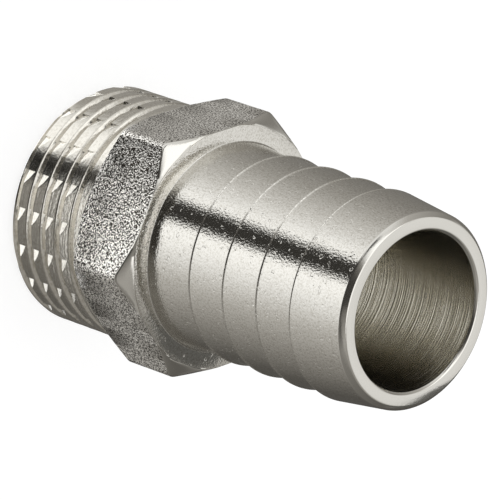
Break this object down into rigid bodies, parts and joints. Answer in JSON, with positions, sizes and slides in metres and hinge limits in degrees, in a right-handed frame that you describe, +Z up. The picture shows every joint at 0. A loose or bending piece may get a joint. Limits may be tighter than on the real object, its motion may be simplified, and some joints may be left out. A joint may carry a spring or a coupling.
{
  "type": "hose tail fitting",
  "caption": "One-piece threaded hose tail: a notched male pipe thread, a hexagon for the spanner and a ridged tail that a hose is pushed over, with a bore right through.",
  "frame": {"origin": "middle of the threaded end face, on the bore axis", "axes": "+Z up the bore from the threaded end to the mouth of the tail; two corners of the hexagon on X, two flats square to Y"},
  "size_m": [0.024, 0.021, 0.0398],
  "materials": {
    "nickel_plate": "nickel plate over turned and blasted brass"
  },
  "bodies": {
    "root": {"hose_tail_fitting": "nickel_plate"}
  },
  "joints": []
}
